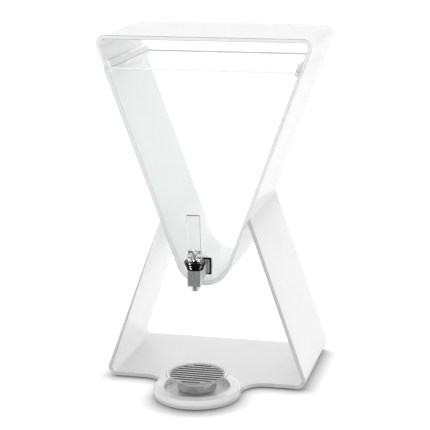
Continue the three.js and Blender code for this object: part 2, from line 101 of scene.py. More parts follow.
# Strip lamps, which light only the pieces named here: place, width, height, radiance
STRIPS = {"strip_left": ((-0.62, -0.72, 0.45), 0.3, 0.4, 600),
          "strip_right": ((0.9, -0.2, 0.7), 0.25, 0.4, 250),
          "strip_back": ((0.55, 2.5, 1.3), 0.8, 0.8, 3)}
STRIP_AIM = (0, -0.1, 0.25)
LIT_BY_STRIPS = ("bonnet_rings", "rail_strip_left", "rail_strip_right")

# What tells a white sheet's cut edges and eased corners from its faces, and where their painted shade turns
# to painted light: parts of a flat face's direction, and places in metres
LEVEL, TURNED = 0.1, 0.01  # less Z than the first is level, more Y than the second is cut
EASED = (0.6, 0.8)  # Y or Z of an eased corner
# The next three spans paint light onto the corners' painted shade
PAINTED_LIGHT_RIGHTWARD = (0.2, 0.5)  # X over which a corner grows light
PAINTED_LIGHT_LEANING = (0.25, 0.4)  # Z of a corner, from one on a leaning run to one on a level run
PAINTED_LIGHT_BELOW = (0.45, 0.35)  # heights over which a corner grows light
# Where the foot tone paints the base's lowest front edges lighter, as painted light
FOOT_LIGHT_HEIGHTS, FOOT_LIGHT_Y = (0.007, 0.012), (-0.05, -0.062)  # heights and Y of the base's front edge

ACRYLIC_IOR = 1.49


def make_camera():
    """The photograph's camera."""
    back = Vector((math.sin(AZIMUTH) * math.cos(ELEVATION),
                   -math.cos(AZIMUTH) * math.cos(ELEVATION), math.sin(ELEVATION)))
    right = Vector((math.cos(AZIMUTH), math.sin(AZIMUTH), 0))
    up = back.cross(right)
    c, s = math.cos(ROLL), math.sin(ROLL)
    x, y = c * right + s * up, -s * right + c * up
    data = bpy.data.cameras.new("camera")
    data.sensor_width, data.sensor_fit = SENSOR, "HORIZONTAL"
    data.lens = FOCAL_PIXELS * SENSOR / FRAME_PIXELS
    data.shift_x, data.shift_y = (pixels / FRAME_PIXELS for pixels in SHIFT_PIXELS)
    data.clip_start, data.clip_end = CLIP
    camera = bpy.data.objects.new("camera", data)
    bpy.context.scene.collection.objects.link(camera)
    place = Matrix((x, y, back)).transposed().to_4x4()
    place.translation = TARGET + back * DISTANCE
    camera.matrix_world = place
    bpy.context.scene.camera = camera


# Node helpers
class Tree:
    """The node tree of a material or world, with short calls for adding and joining nodes."""

    RANGE = ("From Min", "From Max", "To Min", "To Max")
    MIX = {"FLOAT": (2, 3, 0), "RGBA": (6, 7, 2)}  # a Mix node's sockets for A, B and the result

    def __init__(self, owner, output):
        self.owner = owner
        owner.use_nodes = True
        self.nodes, self.links = owner.node_tree.nodes, owner.node_tree.links
        self.nodes.clear()
        self.output = self.add(output)

    def add(self, kind, **values):
        """A node, with each value set on its own setting or socket."""
        node = self.nodes.new("ShaderNode" + kind)
        for key, value in values.items():
            if hasattr(node, key):
                setattr(node, key, value)
            else:
                node.inputs[key.replace("_", " ")].default_value = value
        return node

    def join(self, source, target):
        self.links.new(source, target)

    def feed(self, source, target):
        """Sets a number on a socket, or joins another node's output to it."""
        if isinstance(source, (int, float)):
            target.default_value = source
        else:
            self.join(source, target)

    def value(self, operation, *sources):
        """A Math node's result, from numbers or sockets."""
        node = self.add("Math", operation=operation)
        for source, socket in zip(sources, node.inputs):
            self.feed(source, socket)
        return node.outputs[0]

    def both(self, a, b):
        return self.value("MULTIPLY", a, b)

    def either(self, a, b):
        return self.value("MAXIMUM", a, b)

    def above(self, source, limit):
        return self.value("GREATER_THAN", source, limit)

    def below(self, source, limit):
        return self.value("LESS_THAN", source, limit)

    def band(self, source, low, high):
        """1 between the two values, and 0 outside them."""
        return self.both(self.above(source, low), self.below(source, high))

    def span(self, source, low, high, to_low, to_high, curve="LINEAR"):
        """The source's stretch from low to high, turned into one from to_low to to_high."""
        node = self.add("MapRange", interpolation_type=curve)
        for socket, value in zip(self.RANGE, (low, high, to_low, to_high)):
            node.inputs[socket].default_value = value
        self.join(source, node.inputs["Value"])
        return node.outputs["Result"]

    def noise(self, size, detail=2.0, rough=0.5, stretch=(1, 1, 1)):
        """Noise whose lumps are about this many metres across, stretched along the axes."""
        coordinates, mapping = self.add("TexCoord"), self.add("Mapping")
        mapping.inputs["Scale"].default_value = [1 / (size * s) for s in stretch]
        self.join(coordinates.outputs["Object"], mapping.inputs["Vector"])
        node = self.add("TexNoise", Scale=1.0, Detail=detail, Roughness=rough)
        self.join(mapping.outputs["Vector"], node.inputs["Vector"])
        return node.outputs["Fac"]

    def colour(self, source, dark, light, low=0.3, high=0.7):
        """Greys from dark to light, as the source goes from low to high."""
        node = self.add("ValToRGB")
        for stop, at, tone in zip(node.color_ramp.elements, (low, high), (dark, light)):
            stop.position, stop.color = at, (tone, tone, tone, 1)
        self.join(source, node.inputs["Fac"])
        return node.outputs["Color"]

    def blend(self, factor, a, b, kind="RGBA"):
        """Colours or numbers, a giving way to b by the factor."""
        node = self.add("Mix", data_type=kind)
        first, second, result = self.MIX[kind]
        self.join(factor, node.inputs["Factor"])
        self.join(a, node.inputs[first])
        self.feed(b, node.inputs[second])
        return node.outputs[result]

    def mix_shader(self, factor, a, b):
        """Shader a, giving way to shader b by the factor."""
        node = self.add("MixShader")
        for source, socket in zip((factor, a, b), node.inputs):
            self.feed(source, socket)
        return node.outputs[0]

    def bump(self, source, height, strength=0.5):
        """A surface direction that is raised by the source, height in metres."""
        node = self.add("Bump", Strength=strength, Distance=height)
        self.join(source, node.inputs["Height"])
        return node.outputs["Normal"]

    def parts(self, kind, output):
        """X, Y and Z of an input node's vector."""
        source, split = self.add(kind), self.add("SeparateXYZ")
        self.join(source.outputs[output], split.inputs[0])
        return split.outputs

    def finish(self, shader):
        """Joins the last shader, and returns the material or world."""
        self.join(shader, self.output.inputs["Surface"])
        return self.owner


def material_tree(name):
    return Tree(bpy.data.materials.new(name), "OutputMaterial")


# Materials
def cut_edges(t, face, rough, cut, dark=0.12, light=0.6, foot=None):
    """Saw strokes on a sheet's cut edges in the cut tone, a painted shade where it is darker than the
    faces, and eased corners round the front ones painted darker, as painted shade. The corners' painted
    shade turns to painted light on the right, on leaning runs and low down. A foot tone paints the lowest
    edges lighter, as painted light."""
    facing, place = t.parts("NewGeometry", "True Normal"), t.parts("TexCoord", "Object")
    sideways, ahead = facing["X"], facing["Y"]
    y, z = (t.value("ABSOLUTE", facing[axis]) for axis in "YZ")
    sawn = t.both(t.below(z, LEVEL), t.above(y, TURNED))
    along = t.both(t.band(y, *EASED), t.above(z, LEVEL))
    around = t.both(t.band(z, *EASED), t.above(y, TURNED))
    strokes = t.noise(0.0012, 2, 0.6, (12, 1, 1))

    def streaked(tone, spread=0.015):
        return t.colour(strokes, tone - spread, tone + spread)

    # Painted light: the corners' tone lightens to the right, on leaning runs and low down
    lit = t.either(t.span(sideways, *PAINTED_LIGHT_RIGHTWARD, 0, 1), t.span(z, *PAINTED_LIGHT_LEANING, 0.5, 0))
    lit = t.either(lit, t.span(place["Z"], *PAINTED_LIGHT_BELOW, 0, 1))
    # Painted shade: the dark corner tone, and the cut tone on the cut edges
    corner, edge = t.blend(lit, streaked(dark, 0.02), streaked(light, 0.02)), streaked(cut)
    if foot:
        # Painted light on the base's lowest front edges
        low = t.both(t.span(place["Z"], *FOOT_LIGHT_HEIGHTS, 1, 0), t.span(place["Y"], *FOOT_LIGHT_Y, 0.35, 1))
        painted_foot_light = streaked(foot)
        corner, edge = t.blend(low, corner, painted_foot_light), t.blend(low, edge, painted_foot_light)
    eased = t.both(t.either(along, around), t.below(ahead, 0))
    face = t.blend(eased, t.blend(sawn, face, edge), corner)
    return face, t.value("ADD", rough, t.both(sawn, 0.2))


def white_acrylic(name, tone=0.96, glow=0.4, **edges):
    """Opal white sheet: gloss faces with a faint orange peel, which let some light through.
    The edges are the tones that cut_edges takes, for a sheet whose cut edges show."""
    t = material_tree(name)
    shader, through = t.add("BsdfPrincipled", IOR=ACRYLIC_IOR), t.add("BsdfTranslucent")
    cloud, polish, peel = t.noise(0.09, 3), t.noise(0.05, 4, 0.6), t.noise(0.004, 2)
    face = t.colour(cloud, tone - 0.012, tone + 0.008)
    rough = t.span(polish, 0.35, 0.7, 0.03, 0.07)
    if edges:
        face, rough = cut_edges(t, face, rough, **edges)
    t.join(face, shader.inputs["Base Color"])
    t.join(face, through.inputs["Color"])
    t.join(rough, shader.inputs["Roughness"])
    t.join(t.bump(peel, 0.00004, 0.25), shader.inputs["Normal"])
    return t.finish(t.mix_shader(glow, shader.outputs[0], through.outputs[0]))


def clear_acrylic(name, smear=0.05, wave=0.06, tint=0.985, ior=ACRYLIC_IOR, ripple=0.12, coat=0.0):
    """Clear cast sheet: polished, with faint smears and waves of these sizes in metres. Lamps
    and bounced light pass it unbent."""
    t = material_tree(name)
    cool = min(1.0, tint + 0.003)
    shader = t.add("BsdfPrincipled", IOR=ior, Transmission_Weight=1.0, Coat_Weight=coat,
                   Coat_Roughness=0.02, Base_Color=(tint, cool, cool, 1))
    smears, waves = t.noise(smear, 4, 0.6, (1, 1, 1.6)), t.noise(wave, 1)
    t.join(t.span(smears, 0.45, 0.75, 0.0, 0.035), shader.inputs["Roughness"])
    t.join(t.bump(waves, 0.0002, ripple), shader.inputs["Normal"])
    clear = t.add("BsdfTransparent", Color=(0.985, 0.99, 0.99, 1)).outputs[0]
    path = t.add("LightPath").outputs
    seen = t.mix_shader(path["Is Diffuse Ray"], shader.outputs[0], clear)
    return t.finish(t.mix_shader(path["Is Shadow Ray"], seen, clear))


def grained(t, shader, grain, rough, change, depth):
    """Material whose grain varies its roughness and raises its surface. The change is the
    grain's stretch that counts, low and high, and the share by which roughness varies."""
    low, high, share = change
    t.join(t.span(grain, low, high, rough * (1 - share), rough * (1 + share)), shader.inputs["Roughness"])
    t.join(t.bump(grain, depth), shader.inputs["Normal"])
    return t.finish(shader.outputs[0])


def metal(name, tone, rough, grain, stretch=(1, 1, 1), depth=0.00002, spread=0.05):
    """Metal with a directional or cast grain in its roughness, tone and surface."""
    t = material_tree(name)
    shader = t.add("BsdfPrincipled", Metallic=1.0)
    lines = t.noise(grain, 3, 0.6, stretch)
    t.join(t.colour(lines, tone - spread, tone + spread, 0.25, 0.75), shader.inputs["Base Color"])
    return grained(t, shader, lines, rough, (0.25, 0.75, 0.25), depth)


def plastic(name, tone, rough, grain, depth=0.00002, ior=1.5):
    """Moulded plastic, rubber or silicone with a fine grain."""
    t = material_tree(name)
    shader = t.add("BsdfPrincipled", IOR=ior)
    lumps = t.noise(grain, 3)
    t.join(t.colour(lumps, tone * 0.85, tone * 1.1), shader.inputs["Base Color"])
    return grained(t, shader, lumps, rough, (0.3, 0.7, 0.15), depth)


# The cut, dark and light tones are painted shade and painted light on the sheets' edges; the stand's foot
# tone is painted light
BAND_WHITE = white_acrylic("white_sheet_tank", 0.94, 0.2, cut=0.93, dark=0.2, light=0.65)
STAND_WHITE = white_acrylic("white_sheet_stand", 0.95, cut=0.62, light=0.5, foot=0.93)
WHITE = white_acrylic("white_machined", 0.96, 0.12)
STRIP = white_acrylic("white_strip", 0.97, 0.3)
# Opaque stand-ins: a painted shade end, a painted light edge for clear rims that glow, and a dark and a
# grey painted reflection for clear edges that mirror dark surroundings
PAINTED_SHADE_END = white_acrylic("painted_shade_end", 0.78, 0.1)
PAINTED_LIGHT_EDGE = white_acrylic("painted_light_edge", 0.94, 0.3)
PAINTED_REFLECTION_DARK = plastic("painted_reflection_dark", 0.20, 0.12, 0.003)
PAINTED_REFLECTION_GREY = plastic("painted_reflection_grey", 0.34, 0.12, 0.003)
PANE = clear_acrylic("clear_sheet")
LID = clear_acrylic("clear_lid", ior=1.03, ripple=0.02)
MOULDED = clear_acrylic("clear_moulded", 0.015, 0.03, tint=0.98)
# The dark tint on the lever blade's sides is painted shade
LEVER_SIDE_SHADE = clear_acrylic("clear_lever_painted_shade", 0.015, 0.03, tint=0.5)
TRAY_CLEAR = clear_acrylic("clear_tray", 0.015, 0.03, tint=1.0, ior=1.01, ripple=0.05, coat=0.1)
SATIN = metal("satin_chrome", 0.62, 0.26, 0.0006)
CHROME = metal("polished_chrome", 0.66, 0.10, 0.004, depth=0.00001, spread=0.02)
BRUSHED = metal("brushed_steel", 0.38, 0.34, 0.0004, stretch=(30, 1, 1))
SPUN = metal("spun_steel", 0.56, 0.30, 0.0005, stretch=(8, 8, 1))
THREAD = metal("cut_steel", 0.55, 0.22, 0.0008)
BLACK = plastic("black_gloss_plastic", 0.001, 0.06, 0.0006, depth=0.000002, ior=1.22)
RUBBER = plastic("black_rubber", 0.004, 0.5, 0.0004)
SILICONE = plastic("pale_silicone", 0.72, 0.45, 0.0008, ior=1.41)


# Meshes
def smooth_tree():
    """Modifier that welds a faceted solid and shades its curves smoothly, up to an angle."""
    tree = bpy.data.node_groups.new("weld_and_smooth", "GeometryNodeTree")
    tree.interface.new_socket("Geometry", in_out="INPUT", socket_type="NodeSocketGeometry")
    tree.interface.new_socket("Geometry", in_out="OUTPUT", socket_type="NodeSocketGeometry")
    add, join = tree.nodes.new, tree.links.new
    start, end = add("NodeGroupInput"), add("NodeGroupOutput")
    bare = add("GeometryNodeRemoveAttribute")
    bare.inputs["Name"].default_value = "custom_normal"
    weld = add("GeometryNodeMergeByDistance")
    weld.inputs["Distance"].default_value = WELD
    faces, edges = add("GeometryNodeSetShadeSmooth"), add("GeometryNodeSetShadeSmooth")
    faces.domain, edges.domain = "FACE", "EDGE"
    angle, gentle = add("GeometryNodeInputMeshEdgeAngle"), add("FunctionNodeCompare")
    gentle.data_type, gentle.operation = "FLOAT", "LESS_EQUAL"
    gentle.inputs[1].default_value = math.radians(SHARP)
    join(angle.outputs["Unsigned Angle"], gentle.inputs[0])
    join(gentle.outputs["Result"], edges.inputs["Shade Smooth"])
    steps = (start, bare, weld, faces, edges, end)
    for before, after in zip(steps, steps[1:]):
        join(before.outputs[0], after.inputs[0])
    return tree


SMOOTH = smooth_tree()


def weigh_normals(obj):
    normals = obj.modifiers.new("normals", "WEIGHTED_NORMAL")
    normals.keep_sharp, normals.weight = True, NORMAL_WEIGHT


def dress(material, *names):
    """Gives carried-over CAD nodes a material and smooth curves."""
    for name in names:
        node = NODES[name]
        node.data.materials.clear()
        node.data.materials.append(material)
        node.modifiers.new("smooth", "NODES").node_group = SMOOTH
        weigh_normals(node)


def settle(bm, name, materials, body, nodes, angle, choose):
    """Turns a bmesh into a piece with smooth curves and sharp corners, riding on its body.
    Where there are several materials, choose gives each face's number."""
    bmesh.ops.recalc_face_normals(bm, faces=bm.faces)
    bm.normal_update()
    for face in bm.faces:
        face.smooth = True
        if choose:
            face.material_index = choose(face)
    for edge in bm.edges:
        edge.smooth = len(edge.link_faces) == 2 and edge.calc_face_angle(0) < math.radians(angle)
    mesh = bpy.data.meshes.new(name)
    bm.to_mesh(mesh)
    bm.free()
    for material in materials:
        mesh.materials.append(material)
    obj = bpy.data.objects.new(name, mesh)
    bpy.context.scene.collection.objects.link(obj)
    weigh_normals(obj)
    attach(obj, body)
    if nodes:
        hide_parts(*nodes)


def piece(name, shape, materials, body, nodes=(), angle=SHARP, choose=None):
    """A new piece from vertices in millimetres and faces."""
    vertices, faces = shape
    bm = bmesh.new()
    points = [bm.verts.new(Vector(v) * MM) for v in vertices]
    for face in faces:
        bm.faces.new([points[i] for i in face])
    settle(bm, name, materials, body, nodes, angle, choose)


def glued(name, shape, nodes=(), angle=SHARP, materials=(WHITE,), choose=None):
    """A new piece of the white sheet work."""
    piece(name, shape, materials, "dispenser", nodes, angle, choose)


def refined(name, node, materials, body, ease=0.0, choose=None):
    """A finer copy of a CAD node: flat faces merged, corners rounded by ease millimetres."""
    bm = bmesh.new()
    bm.from_mesh(NODES[node].data)
    bmesh.ops.remove_doubles(bm, verts=bm.verts, dist=WELD)
    bmesh.ops.dissolve_limit(bm, angle_limit=math.radians(COPLANAR), verts=bm.verts, edges=bm.edges)
    if ease:
        corners = [edge for edge in bm.edges
                   if len(edge.link_faces) == 2 and edge.calc_face_angle(0) > math.radians(SHARP)]
        bmesh.ops.bevel(bm, geom=corners, offset=ease * MM, offset_type="OFFSET",
                        segments=BEVEL_STEPS, profile=0.5, affect="EDGES", clamp_overlap=True)
    settle(bm, name, materials, body, [node], SHARP, choose)


def grid(rings, closed):
    """Vertices and faces of rings joined one to the next, each ring a closed loop."""
    count = len(rings[0])
    vertices = [v for ring in rings for v in ring]
    faces = []
    for i in range(len(rings) if closed else len(rings) - 1):
        a, b = i * count, (i + 1) % len(rings) * count
        for j in range(count):
            k = (j + 1) % count
            faces.append((a + j, a + k, b + k, b + j))
    if not closed:
        faces += [tuple(range(count)), tuple((len(rings) - 1) * count + j for j in range(count))]
    return vertices, faces


def turned(profile, x, y, segments):
    """A closed profile of (radius, height) turned about an upright axis at x, y."""
    rings = []
    for radius, height in profile:
        angles = (2 * math.pi * j / segments for j in range(segments))
        rings.append([(x + radius * math.cos(a), y + radius * math.sin(a), height) for a in angles])
    return grid(rings, True)


def arc(across, height, radius, start, end, steps=5):
    """Points of a round in a turned profile, angles in degrees."""
    angles = (math.radians(start + (end - start) * i / steps) for i in range(steps + 1))
    return [(across + radius * math.cos(a), height + radius * math.sin(a)) for a in angles]


def bend(start, corner, end, steps):
    """Points of a soft curve from start to end, drawn towards the corner between them."""
    points = []
    for i in range(steps + 1):
        t = i / steps
        points.append(tuple(start.lerp(corner, t).lerp(corner.lerp(end, t), t)))
    return points


def extruded(outline, side, near, far):
    """An outline of (x, z) points on the left (-1) or right (1) side, run along Y."""
    return grid([[(side * x, y, z) for x, z in outline] for y in (near, far)], False)


def at_angle(value, angle):
    """A number, or what a function of the angle gives."""
    return value(angle) if callable(value) else value


def about_y(rings_at, x, z, segments):
    """Closed rings about a level axis along Y: each entry is a y and a radius, which may both
    be functions of the angle."""
    rings = []
    for y, radius in rings_at:
        ring = []
        for j in range(segments):
            angle = 2 * math.pi * j / segments
            r = at_angle(radius, angle)
            ring.append((x + r * math.cos(angle), at_angle(y, angle), z + r * math.sin(angle)))
        rings.append(ring)
    return grid(rings, True)


def box_mm(node):
    low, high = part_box(node)
    return Vector(low) / MM, Vector(high) / MM


def round_place(node):
    """Middle, radius, bottom and top of a round upright node."""
    low, high = box_mm(node)
    return (low.x + high.x) / 2, (low.y + high.y) / 2, (high.x - low.x) / 2, low.z, high.z


# Studio
def world_levels(t, direction, front, back, back_span, over, over_span, sides):
    """Brightness by direction: from front to back, towards straight up, and to both sides."""
    def spread(source, span, to_low, to_high):
        return t.span(source, *span, to_low, to_high, "SMOOTHSTEP")

    shader = t.add("Background")
    level = t.blend(spread(direction["Z"], over_span, 0, 1),
                    spread(direction["Y"], back_span, front, back), over, "FLOAT")
    t.join(level, shader.inputs["Strength"])
    across = t.value("ABSOLUTE", direction["X"])
    t.join(spread(across, SIDE_SPAN, 1, sides), shader.inputs["Color"])
    return shader.outputs[0]


def make_world():
    """Soft light on surfaces, a gentler room in mirrors, and plain white behind everything."""
    world = bpy.data.worlds.new("studio")
    bpy.context.scene.world = world
    t = Tree(world, "OutputWorld")
    path, direction = t.add("LightPath").outputs, t.parts("TexCoord", "Generated")
    light = world_levels(t, direction, **SOFT_LIGHT)
    mirrored = world_levels(t, direction, **MIRRORED)
    plain = t.add("Background", Color=(1, 1, 1, 1)).outputs[0]
    for ray, source in (("Is Glossy Ray", mirrored), ("Is Transmission Ray", plain),
                        ("Is Camera Ray", plain)):
        light = t.mix_shader(path[ray], light, source)
    t.finish(light)


def stage_plane(name, material, half_x, near, far, height, unseen_by=()):
    """A level rectangle that isn't part of the object."""
    mesh = bpy.data.meshes.new(name)
    mesh.from_pydata([(-half_x, near, height), (half_x, near, height),
                      (half_x, far, height), (-half_x, far, height)], [], [(0, 1, 2, 3)])
    mesh.materials.append(material)
    plane = bpy.data.objects.new(name, mesh)
    bpy.context.scene.collection.objects.link(plane)
    for ray in unseen_by:
        setattr(plane, "visible_" + ray, False)
    return plane


def make_floor():
    """White floor, glowing evenly, with a narrow soft shadow painted under the object from ambient
    occlusion, and a card only mirrors see.
    """
    t = material_tree("floor")
    shader = t.add("BsdfPrincipled", Roughness=0.9, Specular_IOR_Level=0.0, Emission_Strength=FLOOR_GLOW)
    nook = t.add("AmbientOcclusion", Distance=SHADOW_REACH, samples=SHADOW_SAMPLES)
    towards = t.add("Attribute", attribute_name="towards_light")
    t.join(towards.outputs["Vector"], nook.inputs["Normal"])
    shade = t.colour(t.value("POWER", nook.outputs["AO"], SHADOW_POWER), 0.0, FLOOR_TONE, 0.0, 1.0)
    t.join(shade, shader.inputs["Base Color"])
    t.join(shade, shader.inputs["Emission Color"])
    ground = stage_plane("floor", t.finish(shader.outputs[0]), FLOOR_REACH, -FLOOR_REACH, FLOOR_REACH, 0)
    slant = ground.data.attributes.new("towards_light", "FLOAT_VECTOR", "POINT")
    for entry in slant.data:
        entry.vector = TOWARDS_LIGHT

    card = material_tree("dark_card")
    glow = card.add("Emission", Color=(1, 1, 1, 1), Strength=CARD_GLOW)
    stage_plane("dark_card", card.finish(glow.outputs[0]), **CARD,
                unseen_by=("camera", "diffuse", "transmission", "shadow", "volume_scatter"))


def strip_lamp(name, at, width, height, radiance, lit):
    """A lamp that gives the lit collection's pieces a glint. The camera and clear pieces don't
    see it, and it gives no soft light."""
    data = bpy.data.lights.new(name, "AREA")
    data.shape, data.size, data.size_y = "RECTANGLE", width, height
    data.energy = radiance * math.pi * width * height
    lamp = bpy.data.objects.new(name, data)
    bpy.context.scene.collection.objects.link(lamp)
    lamp.location = at
    lamp.rotation_euler = (Vector(at) - Vector(STRIP_AIM)).to_track_quat("Z", "Y").to_euler()
    for ray in ("camera", "transmission", "diffuse"):
        setattr(lamp, "visible_" + ray, False)
    lamp.light_linking.receiver_collection = lit


def make_studio():
    """World, floor and lamps. Returns the collection that the strip lamps light."""
    view = bpy.context.scene.view_settings
    view.view_transform, view.look = "Standard", "None"
    make_world()
    make_floor()
    lit = bpy.data.collections.new("lit_by_strips")
    for name, (at, width, height, radiance) in STRIPS.items():
        strip_lamp(name, at, width, height, radiance, lit)
    return lit


# White sheet pieces
def wall_x(z, out=0.0):
    """Half-width of the tank's outer face at a height, moved out square to the face."""
    return ROOF_HALF - (ROOF_TOP - z) * math.tan(WALL_LEAN) + out / math.cos(WALL_LEAN)


def leg_x(z, out=0.0):
    """Half-width of the legs' outer face at a height, moved out square to the face."""
    return BASE_HALF - (z - BASE_FOOT) * math.tan(LEG_LEAN) + out / math.cos(LEG_LEAN)


def meeting(leg_out, wall_out):
    """Height where a leg's face meets a wall's face."""
    gap = leg_x(BASE_FOOT, leg_out) - wall_x(BASE_FOOT, wall_out)
    return BASE_FOOT + gap / (math.tan(LEG_LEAN) + math.tan(WALL_LEAN))


def cement_bead(side, name):
    """Cement in the joint between a wall and its leg, with a small hollow fillet outside."""
    reach, short, steps = 1.6, 0.1, 4
    corner_z, inner_z = meeting(0, 0), meeting(-SHEET, 0)
    corner = Vector((wall_x(corner_z), corner_z))
    up_wall = corner + Vector((math.sin(WALL_LEAN), math.cos(WALL_LEAN))) * reach
    down_leg = corner + Vector((math.sin(LEG_LEAN), -math.cos(LEG_LEAN))) * reach
    (start_x, start_z), *fillet = bend(up_wall, corner, down_leg, steps)
    foot_z = corner_z - reach
    outline = [(wall_x(inner_z, TOUCH), inner_z), (start_x + TOUCH, start_z), *fillet,
               (leg_x(foot_z, -TOUCH), foot_z), (wall_x(inner_z, SEAM - TOUCH), inner_z)]
    near, far = box_mm("tank_band")[0].y + short, box_mm("stand")[1].y - short
    glued(name, extruded(outline, side, near, far))


def crotch_wedge(side, name, node):
    """Wedge between a wall and its leg, cemented on both sides, with a hollow lower face."""
    low, high = box_mm(node)
    steps, sag, corners = 6, 1.2, 30
    left = Vector((wall_x(low.z, TOUCH), low.z))
    right = Vector((leg_x(low.z, -SHEET - TOUCH), low.z))
    hollow = []
    for i in range(steps + 1):
        t = i / steps
        across = left.lerp(right, t)
        hollow.append((across.x, across.y + sag * math.sin(math.pi * t)))
    outline = [(wall_x(high.z, TOUCH), high.z), *hollow, (leg_x(high.z, -SHEET - TOUCH), high.z)]
    glued(name, extruded(outline, side, low.y, high.y), [node], corners)


def rail_face(face):
    """The sawn end, the top or any other face of a rail."""
    if abs(face.normal.y) > SQUARE:
        return 1
    return 2 if face.normal.z > MOSTLY else 0


def lid_rail(side, name, node):
    """Square-cut strip on a wall with a level groove, and a thin line of cement over its top."""
    low, high = box_mm(node)
    rail, above, tall, groove, gap, lid = 6.0, 12.5, 19.5, 4.0, 0.3, 2.0
    round_foot, round_corner, round_top, round_in = 3.0, 1.2, 0.9, 1.8
    crown, bead, corners = 0.2, 0.8, 30
    up = Vector((math.sin(WALL_LEAN), math.cos(WALL_LEAN)))
    inward = Vector((-math.cos(WALL_LEAN), math.sin(WALL_LEAN)))
    foot = Vector((wall_x(PANE_TOP, -SHEET), PANE_TOP))
    face = SEAM + rail

    def at(depth, along):
        """A point this far in from the wall and this far up along it."""
        return foot + inward * depth + up * along

    def face_at(z):
        start = at(face, 0)
        return (start.x + (z - start.y) * math.tan(WALL_LEAN), z)

    lip_low, lip_high = PANE_TOP + gap / 2, PANE_TOP + gap + lid + TOUCH
    groove_x = wall_x(PANE_TOP + gap, -SHEET - face) + groove
    outline = [tuple(at(TOUCH, above - tall)), tuple(at(face, above - tall)),
               face_at(lip_low), (groove_x, lip_low), (groove_x, lip_high), face_at(lip_high)]
    outline += bend(at(face, above - round_foot), at(face, above - round_corner),
                    at(face - round_in, above - round_top), 6)
    outline += [tuple(at(SEAM + bead, above - crown)), tuple(at(TOUCH, above + bead))]
    # The right rail's end is painted shade, a darker tone than the left rail's white end
    end = WHITE if side < 0 else PAINTED_SHADE_END
    glued(name, extruded(outline, side, low.y, high.y), [node], corners, (STRIP, end, WHITE), rail_face)


def seat_ring():
    """Ring with a rounded shoulder that the tray stands in, and the cement under it."""
    x, y, radius, low, high = round_place("tray_seat_ring")
    inner, shoulder, ease, segments = 53.5, 3.0, 0.6, 180
    profile = [(inner, low), (radius, low),
               *arc(radius - shoulder, high - shoulder, shoulder, 0, 90, 10),
               *arc(inner + ease, high - ease, ease, 90, 180, 4)]
    glued("seat_ring_rounded", turned(profile, x, y, segments), ["tray_seat_ring"])
    top, foot, outer, within, corner = low - SEAM + TOUCH, low - TOUCH, radius - 2 * TOUCH, inner + 1, 0.5
    cement = [(within, top), (outer - corner, top), (outer, top - corner), (outer, foot), (within, foot)]
    glued("seat_ring_cement", turned(cement, x, y, segments))


# Drip tray
def tray_cup():
    """Clear cup with a rebate for the grate, a ledge for the steel cup and eased corners."""
    x, y, radius, low, high = round_place("drip_tray")
    rim, ledge, rebate, floor, ease, soft = 5.8, 2.2, 4.8, 3.0, 0.8, 1.6
    step = radius - rim
    hollow = step - ledge
    profile = [(AXIS, low), *arc(radius - ease, low + ease, ease, -90, 0),
               *arc(radius - ease, high - ease, ease, 0, 90), *arc(step + ease, high - ease, ease, 90, 180),
               (step, high - rebate), (hollow, high - rebate),
               *arc(hollow - soft, low + floor + soft, soft, 0, -90), (AXIS, low + floor)]

    def rim_edge(face):
        """The rim's two rounds are opaque grey tones, a painted reflection of the wall and the rebate
        below.
        """
        at = face.calc_center_median() / MM
        out = math.hypot(at.x - x, at.y - y)
        if at.z < high - ease:
            return 0
        if out < step + ease:
            return 1
        return 2 if out > radius - ease else 0

    piece("tray_clear_cup", turned(profile, x, y, 144), [TRAY_CLEAR, PAINTED_REFLECTION_DARK, PAINTED_REFLECTION_GREY], "tray",
          ["drip_tray"], choose=rim_edge)


def steel_cup():
    """Spun cup with a flange, a raised edge round its floor and soft corners."""
    x, y, radius, low, high = round_place("drip_cup")
    outer, wall, soft, lip = 31.2, 0.8, 2.0, 0.4
    floor, slope, raised, thinner = outer - 6, 1, 0.5, 0.6
    inner, under, heel = outer - wall, high - wall, low + raised
    profile = [(AXIS, low), (floor, low), (floor + slope, heel),
               *arc(outer - soft, heel + soft, soft, -90, 0, 6),
               (outer, under - lip), (outer + lip, under), (radius, under), (radius, high),
               (inner + lip, high), (inner, high - lip),
               *arc(inner - soft, heel + wall + soft, soft, 0, -90, 6),
               (floor + slope - thinner, heel + wall), (floor - thinner, low + wall), (AXIS, low + wall)]
    piece("steel_cup_spun", turned(profile, x, y, 144), [SPUN], "cup", ["drip_cup"])


# Tap
def bonnet():
    """Black cap: a plug, a collar, two turned rings and a rim with a dished top."""
    x, y, radius, low, high = round_place("tap_bonnet")
    bore, plug, plug_height = 3.3, 6.2, 5.5
    collar, collar_top, neck, soft = 13.6, 3.2, 12.4, 0.7
    rings = ((14.0, 3.7, 6.5), (15.6, 6.8, 9.4))
    gap, groove, shoulder, bulge, sweep = 0.1, 1.3, 0.5, 0.72, 75
    rim_height, rim_root, flare, flare_rise, rim_rise, ease = 9.7, 16.2, 0.25, 0.5, 1.2, 1.2
    dish, boss, slope, depth, sunk = 14.6, 5.6, 0.6, 0.5, 0.2
    seat = low + plug_height
    rim = seat + rim_height
    profile = [(bore, low), (plug, low), (plug, seat),
               *arc(collar - soft, seat + soft, soft, -90, 0, 4),
               *arc(collar - soft, seat + collar_top - soft, soft, 0, 90, 4), (neck, seat + collar_top)]
    for edge, bottom, top in rings:
        half = (top - bottom) / 2
        profile += [(edge - groove, seat + bottom - gap),
                    *arc(edge, seat + bottom + half, half * bulge, -sweep, sweep, 6),
                    (edge - shoulder, seat + top + gap)]
    profile += [(rim_root, rim), (radius - flare, rim + flare_rise), (radius, rim + rim_rise),
                (radius, high - ease - gap), *arc(radius - ease, high - ease, ease, 0, 90, 6),
                (dish, high), (dish - slope, high - depth), (boss + slope, high - depth),
                (boss, high - sunk), (bore, high - sunk)]
    piece("bonnet_rings", turned(profile, x, y, 128), [BLACK], "dispenser", ["tap_bonnet"])


